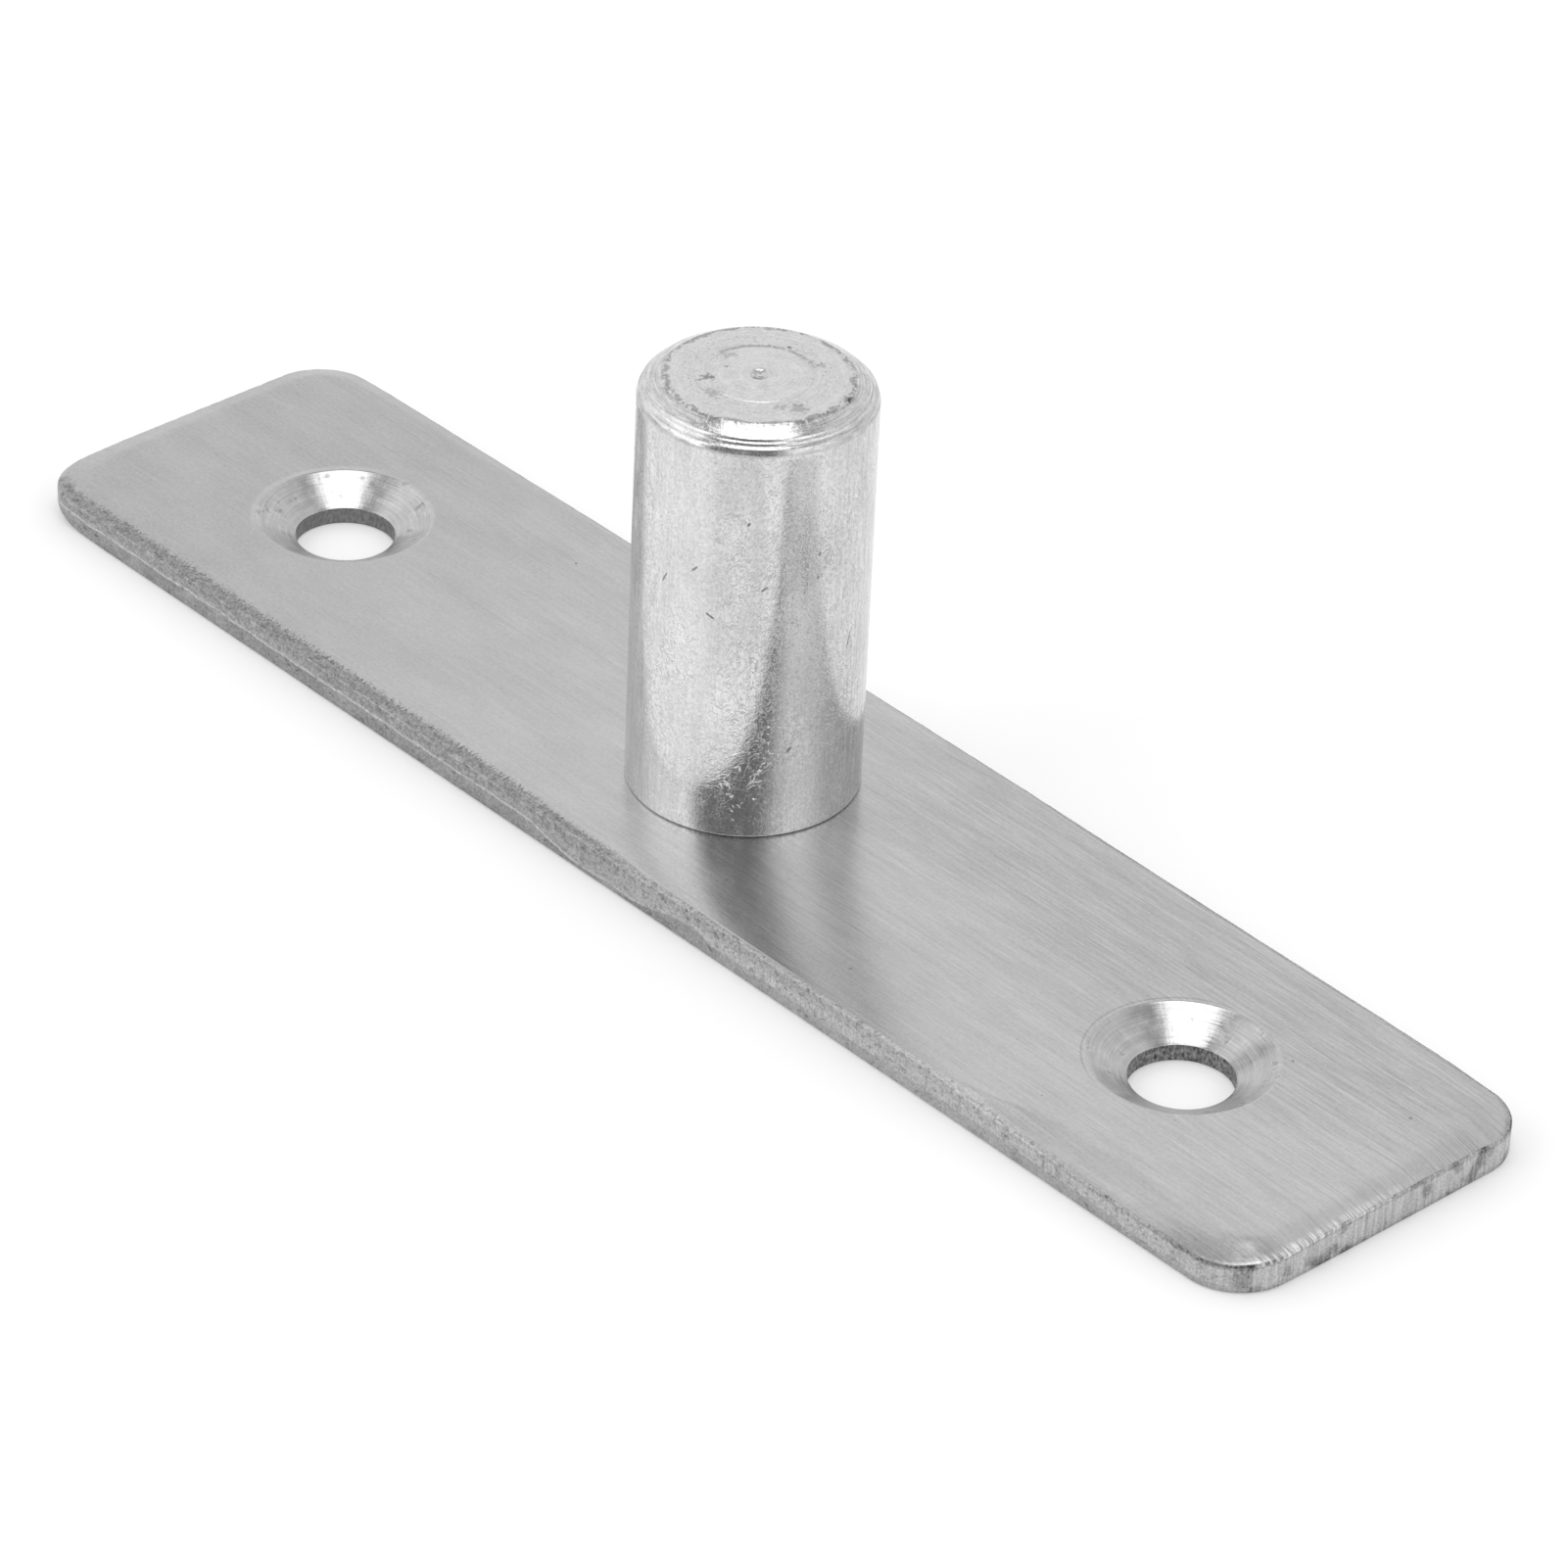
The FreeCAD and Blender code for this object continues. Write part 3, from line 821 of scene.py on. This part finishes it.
bar, given, result = shape_tree("pivot_pin", {
    "Profile": ("Object", None),
    "Steps Round": ("Int", 256),
    "Plate Face": ("Float", plate_thickness),
    "Wear Depth": ("Float", 0.012 * mm),
    "Finish": ("Material", None),
})
lathe = bar.tree.nodes.new("GeometryNodeGroup")
lathe.node_tree = turned.tree
bar.feed(lathe.inputs["Profile"], given["Profile"])
bar.feed(lathe.inputs["Steps Round"], given["Steps Round"])
position = bar.add("GeometryNodeInputPosition").outputs[0]
normal = bar.add("GeometryNodeInputNormal").outputs[0]
height = bar.split(position)[2]
above = bar.math("SUBTRACT", height, given["Plate Face"])
shown = bar.smooth(above, 0.1 * mm, 0.6 * mm)
wear = bar.noise(bar.vector("MULTIPLY", position, (450, 450, 250)), detail=3)
offset = bar.scaled(normal, bar.product(wear, given["Wear Depth"], shown, -1.0))
worn = bar.add("GeometryNodeSetPosition", {"Geometry": lathe.outputs[0], "Offset": offset}).outputs[0]
dressed = {"Geometry": worn, "Material": given["Finish"]}
dressed = bar.add("GeometryNodeSetMaterial", dressed).outputs[0]
bar.feed(result[0], bar.add("GeometryNodeRealizeInstances", {0: dressed}).outputs[0])

# Nicks: short dents of a given direction and length.
nicks, given_nick, nick_out = mask_group("nick", {
    "Place": ("Vector", (0, 0, 0)),
    "Centre": ("Vector", (0, 0, 0)),
    "Direction": ("Vector", (0, 0, 1)),
    "Length": ("Float", 0.5),
    "Width": ("Float", 0.1),
})
from_centre = nicks.vector("SUBTRACT", given_nick["Place"], given_nick["Centre"])
direction = nicks.vector("NORMALIZE", given_nick["Direction"])
along = nicks.vector("DOT_PRODUCT", from_centre, direction)
aside = nicks.vector("SUBTRACT", from_centre, nicks.scaled(direction, along))
along = nicks.math("DIVIDE", along, given_nick["Length"])
aside = nicks.math("DIVIDE", nicks.vector("LENGTH", aside), given_nick["Width"])
away = nicks.vector("LENGTH", nicks.joined(along, aside, 0.0))
nicks.feed(nick_out, nicks.fade(away, 0.30, 0.62))

# Smudges: soft ragged spots of dirt.
smudge, given_smudge, smudge_out = mask_group("smudge", {
    "Place": ("Vector", (0, 0, 0)),
    "Centre": ("Vector", (0, 0, 0)),
    "Size": ("Float", 0.5),
})
from_centre = smudge.vector("SUBTRACT", given_smudge["Place"], given_smudge["Centre"])
spread = smudge.math("DIVIDE", smudge.vector("LENGTH", from_centre), given_smudge["Size"])
ragged_in = smudge.noise(smudge.scaled(given_smudge["Place"], 3.2), detail=5.0)
spread = smudge.math("ADD", spread, smudge.span(ragged_in, -0.7, 0.7))
smudge.feed(smudge_out, smudge.fade(spread, 0.35, 1.0))

# Finish of the pin: bright zinc with a fine curled grain, streaked and nicked, and
# with turning rings, dirt and smudges on top.
pin_finish, zinc, zinc_shader, zinc_place = steel("zinc_plated_steel")
zinc_x, zinc_y, zinc_z = zinc.split(zinc_place)
curled = use(zinc, grain, place=zinc_place, cell=(0.55, 0.55, 0.70), detail=3.5, curl=1.6)
worms = zinc.fade(zinc.apart(curled, 0.5), 0.0, 0.045)
fine = use(zinc, grain, place=zinc_place, cell=(0.16, 0.16, 0.20), detail=3.0, curl=0.8)
patches = use(zinc, grain, place=zinc_place, cell=(2.2, 2.2, 5.0), detail=5.0)
drawn = use(zinc, grain, place=zinc_place, cell=(0.20, 0.20, 3.2), detail=3.0)
pits = use(zinc, specks, place=zinc_place, spacing=1.3, size=0.09)
bearing = zinc.math("ARCTAN2", zinc_y, zinc_x)
to_sides = zinc.smooth(zinc.apart(bearing, -math.radians(43)), 0.55, 1.2)
# Painted dark reflection: a darker patch on the upper part of the side that faces the camera.
painted_dark_reflection = zinc.apart(bearing, -math.radians(50))
painted_dark_reflection = zinc.product(zinc.fade(painted_dark_reflection, 0.14, 0.30), zinc.smooth(zinc_z, 12, 18))
# Painted shade: the pin's right side is darker.
painted_right_shade = zinc.smooth(bearing, -0.25, 0.15)
squiggle_zone = use(zinc, smudge, place=zinc_place, centre=(5.35, -5.25, 7.6), size=3.2)
rubbed_zone = use(zinc, smudge, place=zinc_place, centre=(7.35, -1.4, 22.6), size=2.6)
busy = zinc.product(
    zinc.math("ADD", rubbed_zone, zinc.smooth(patches, 0.48, 0.60, 0.35, 1.0)),
    zinc.smooth(zinc_z, 5.0, 11.0, 0.35, 1.0),
    zinc.smooth(zinc_z, shoulder_foot - 0.2, shoulder_foot + 0.2, 1.0, 0.25),
)
# Squiggles near the foot: light runs in the plating, raised by bump, with painted glints that make
# them brighter.
loops = use(zinc, grain, place=zinc_place, cell=(1.3, 1.3, 1.5), detail=1.5, curl=1.4)
loops = zinc.fade(zinc.apart(loops, 0.52), 0.010, 0.030)
strokes = use(zinc, grain, place=zinc_place, cell=(0.8, 0.8, 0.7), detail=1.0)
squiggle_glints = zinc.product(loops, squiggle_zone, zinc.smooth(strokes, 0.52, 0.57))
side_marks = {
    "dot": ((5.32, -5.28, 25.48), (0.5, 0.5, 0.9), 0.30, 0.17),
    "dot, right": ((7.40, -1.25, 22.84), (0.1, 0.5, 0.9), 0.34, 0.20),
    "dent": ((2.51, -7.07, 21.66), (0.6, 0.2, 0.7), 0.65, 0.15),
    "dent, low": ((3.56, -6.60, 18.61), (0.8, 0.4, -0.5), 0.65, 0.12),
    "dent, right": ((6.05, -4.43, 20.89), (0.5, 0.6, 0.6), 0.52, 0.12),
    "dent by the foot": ((6.98, -2.73, 8.98), (0.2, 0.5, 0.6), 0.60, 0.20),
    "speck": ((7.39, -1.31, 21.17), (0.1, 0.5, 0.3), 0.24, 0.16),
    "slanting scratch": ((7.32, 1.62, 15.60), (0.0, 0.25, 1.0), 1.7, 0.12),
    "slanting scratch, left": ((0.30, -7.49, 20.20), (0.5, 0.0, 1.0), 1.0, 0.10),
}
side_nicks = zinc.total(*[
    use(zinc, nicks, place=zinc_place, centre=centre, direction=direction, length=length, width=width)
    for centre, direction, length, width in side_marks.values()
])
side_tone = zinc.total(
    zinc.span(fine, 0.63, 0.82),
    zinc.product(worms, zinc.ramp(busy, 0.0, 1.6, -0.04, -0.20)),
    zinc.span(patches, -0.07, 0.06),
    zinc.product(zinc.span(drawn, -0.09, 0.07), zinc.ramp(to_sides, 0.0, 1.0, 0.35, 1.3)),
    zinc.product(painted_dark_reflection, -0.10),
    zinc.product(painted_right_shade, -0.08),
    zinc.product(squiggle_glints, 0.34),
    zinc.product(side_nicks, -0.42),
)

radius = zinc.vector("LENGTH", zinc.joined(zinc_x, zinc_y, 0.0))
facing = use(zinc, rings, place=zinc_place, pitch=0.11, breaks=0.6)
smudges = use(zinc, grain, place=zinc_place, cell=(0.9, 0.9, 0.9), detail=5.0, curl=0.4)
specked = use(zinc, grain, place=zinc_place, cell=(0.22, 0.22, 0.22), detail=4.0)


def dirty_ring(at, width, gaps):
    """Broken ring of dirt at a radius in millimetres."""
    wander = zinc.math("ADD", radius, zinc.span(smudges, -0.24, 0.24))
    from_ring = zinc.apart(wander, at)
    held = zinc.math("ADD", smudges, zinc.span(specked, -0.14, 0.14))
    held = zinc.smooth(held, gaps, gaps + 0.14)
    return zinc.product(zinc.fade(from_ring, width * 0.1, width), held)


def top_smudge(x, y, size, tone):
    """Darker tone of a spot of dirt on the top, placed in millimetres from the axis."""
    spot = use(zinc, smudge, place=zinc_place, centre=(x, y, pin_top / mm), size=size)
    return zinc.product(spot, tone)


on_top = zinc.smooth(zinc_z, pin_top / mm - 0.05, pin_top / mm - 0.02)
by_the_top = zinc.smooth(zinc_z, shoulder_foot - 0.07, shoulder_foot + 0.08)
far_side = zinc.smooth(zinc.math("SUBTRACT", zinc_y, zinc.product(zinc_x, 0.6)), 1.6, 3.0)
dirt_and_dimple_shade = zinc.total(
    zinc.product(dirty_ring(top_flat_radius / mm, 0.34, 0.40), -0.32),
    zinc.product(dirty_ring(3.5, 0.30, 0.30), far_side, -0.26),
    zinc.product(dirty_ring(4.3, 1.3, 0.50), -0.10),
    top_smudge(-1.80, -2.74, 0.50, -0.36),
    top_smudge(-0.10, -3.55, 0.75, -0.16),
    top_smudge(-3.05, -0.10, 0.60, -0.14),
    top_smudge(4.48, -0.84, 0.70, -0.20),
    top_smudge(3.60, -1.70, 0.50, -0.14),
    top_smudge(1.52, 3.76, 0.35, -0.18),
    top_smudge(-1.91, -0.97, 0.22, -0.24),
    top_smudge(5.57, 2.42, 0.32, -0.34),
    # Painted shade: the dimple's hollow is darkened in specks.
    zinc.product(zinc.fade(radius, 0.35, 0.60), zinc.smooth(specked, 0.46, 0.56), -0.25),
)
scratched = zinc.total(
    zinc.span(smudges, -0.05, 0.04),
    zinc.span(facing, -0.045, 0.045),
    zinc.span(fine, -0.05, 0.05),
    zinc.product(worms, -0.05),
    zinc.product(zinc.smooth(specked, 0.63, 0.70), -0.15),
)
top_tone = zinc.total(0.66, scratched, dirt_and_dimple_shade)
shoulder_tone = zinc.total(0.61, zinc.span(facing, -0.12, 0.10), scratched, dirt_and_dimple_shade)
tone = zinc.blend(by_the_top, side_tone, shoulder_tone)
tone = zinc.blend(on_top, tone, top_tone)
# Painted shade: a darker line in the crease at the foot of the shoulder.
painted_foot_shade = zinc.fade(zinc.apart(zinc_z, shoulder_foot + 0.08), 0.12, 0.25)
tone = zinc.total(tone, zinc.product(pits, -0.40), zinc.product(painted_foot_shade, -0.07))
zinc.feed(zinc_shader.inputs["Base Color"], zinc.math("MAXIMUM", tone, 0.04))
torn_rim = zinc.fade(zinc.apart(radius, disc_radius / mm + 0.04), 0.05, 0.10)
torn_rim = zinc.product(torn_rim, on_top)
zinc_roughness = zinc.blend(torn_rim, zinc.ramp(fine, 0.25, 0.75, 0.08, 0.16), 0.38)
zinc.feed(zinc_shader.inputs["Roughness"], zinc_roughness)
zinc_height = zinc.total(
    zinc.product(fine, zinc.smooth(zinc_z, shoulder_foot - 0.2, shoulder_foot + 0.2, 0.009, 0.006)),
    zinc.product(worms, zinc.ramp(busy, 0.0, 1.6, -0.002, -0.014)),
    zinc.product(squiggle_glints, 0.03),
    zinc.product(drawn, 0.004),
    zinc.product(zinc.math("ADD", pits, side_nicks), -0.03),
)
zinc_bump = zinc.add("ShaderNodeBump", {"Distance": mm, "Height": zinc_height})
zinc.feed(zinc_shader.inputs["Normal"], zinc_bump.outputs[0])

pin_profile = profile_object("pin_profile", pin_points)
pin_inputs = {"Profile": pin_profile, "Finish": pin_finish}
pin = made_mesh("pivot_pin_zinc", bar.tree, pin_inputs, soft_angle=25)
bpy.data.objects.remove(pin_profile)
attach(pin, "root")
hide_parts("pivot_pin")

# Camera: at the photograph's angle, 48 cm away, with a long lens.
camera_azimuth = math.radians(46.626)
camera_elevation = math.radians(33.373)
camera_roll = math.radians(2.598)
backwards = Vector((
    math.sin(camera_azimuth) * math.cos(camera_elevation),
    -math.cos(camera_azimuth) * math.cos(camera_elevation),
    math.sin(camera_elevation),
))
level_right = (-backwards).cross(Vector((0, 0, 1))).normalized()
level_up = level_right.cross(-backwards)
right = math.cos(camera_roll) * level_right + math.sin(camera_roll) * level_up
up = math.cos(camera_roll) * level_up - math.sin(camera_roll) * level_right
camera_data = bpy.data.cameras.new("camera")
camera_data.sensor_width = 36.0
camera_data.lens = 169.14
camera = bpy.data.objects.new("camera", camera_data)
camera.matrix_world = Matrix((right, up, backwards)).transposed().to_4x4()
camera.location = (0.284387, -0.265065, 0.257953)
bpy.context.scene.collection.objects.link(camera)
bpy.context.scene.camera = camera

# Floor: a pale table. Camera and mirror rays see it a little brighter than it is
# lit, which turns it white, and it keeps the object's shadow.
floor_half = 3.0
floor_mesh = bpy.data.meshes.new("floor")
corner_signs = ((-1, -1), (1, -1), (1, 1), (-1, 1))
floor_drop = -0.02 * mm
floor_mesh.from_pydata(
    [(floor_half * sx, floor_half * sy, floor_drop) for sx, sy in corner_signs], [], [(0, 1, 2, 3)]
)
floor = bpy.data.objects.new("floor", floor_mesh)
bpy.context.scene.collection.objects.link(floor)
floor_material = bpy.data.materials.new("pale_table")
floor_material.use_nodes = True
table = Tree(floor_material.node_tree)
floor_material.node_tree.nodes.remove(floor_material.node_tree.nodes["Principled BSDF"])
table_grey = 0.74
table_glow = 0.27
matt = table.add("ShaderNodeBsdfDiffuse", {"Color": (table_grey, table_grey, table_grey, 1)})
rays = table.add("ShaderNodeLightPath").outputs
seen = table.math("MAXIMUM", rays["Is Camera Ray"], rays["Is Glossy Ray"])
glow = table.add("ShaderNodeEmission", {"Strength": table.math("MULTIPLY", seen, table_glow)})
both = table.add("ShaderNodeAddShader", {0: matt.outputs[0], 1: glow.outputs[0]})
table.feed(floor_material.node_tree.nodes["Material Output"].inputs["Surface"], both.outputs[0])
floor_mesh.materials.append(floor_material)

# Light: a pale tent round the table, open and dark on the camera's side, brighter
# at its left and right walls, with one softbox overhead.
tent_walls = {
    -180: 1.00, -130: 1.05, -106: 1.35, -82: 1.60, -62: 1.58, -53: 2.30, -44: 0.60, -32: 0.30,
    18: 0.30, 30: 0.95, 42: 1.42, 66: 1.42, 84: 0.95, 120: 0.86, 180: 1.00,
}
world = bpy.data.worlds.new("light_tent")
world.use_nodes = True
bpy.context.scene.world = world
room = Tree(world.node_tree)
towards = room.add("ShaderNodeTexCoord").outputs["Generated"]
turned_x = math.cos(camera_azimuth)
turned_y = math.sin(camera_azimuth)
to_front = room.vector("DOT_PRODUCT", towards, (turned_y, -turned_x, 0.0))
to_right = room.vector("DOT_PRODUCT", towards, (turned_x, turned_y, 0.0))
bearing = room.ramp(room.math("ARCTAN2", to_right, to_front), -math.pi, math.pi)
walls = room.add("ShaderNodeValToRGB", {"Fac": bearing})
brightest = max(tent_walls.values())
for index, (angle, strength) in enumerate(tent_walls.items()):
    place = (angle + 180) / 360
    stops = walls.color_ramp.elements
    stop = stops[index] if index < 2 else stops.new(place)
    stop.position = place
    stop.color = (*[strength / brightest] * 3, 1)
wall_tone = room.math("MULTIPLY", walls.outputs["Color"], brightest)
height = room.split(towards)[2]
roof_strength = 0.50
ground_strength = 0.90
room_tone = room.blend(room.smooth(height, 0.78, 0.92), wall_tone, roof_strength)
room_tone = room.blend(room.fade(height, -0.05, 0.0), room_tone, ground_strength)
seen = room.add("ShaderNodeLightPath").outputs["Is Camera Ray"]
background = world.node_tree.nodes["Background"]
room.feed(background.inputs["Strength"], room.blend(seen, room_tone, 1.0))
background.inputs["Color"].default_value = (1, 1, 1, 1)

softbox_data = bpy.data.lights.new("softbox", "AREA")
softbox_data.shape = "SQUARE"
softbox_data.size = 0.35
softbox_data.energy = 0.74
softbox = bpy.data.objects.new("softbox", softbox_data)
softbox.location = (0.01, -0.01, 0.6)
softbox.rotation_euler = (0, 0, camera_azimuth)
bpy.context.scene.collection.objects.link(softbox)

bpy.context.scene.view_settings.view_transform = "Standard"
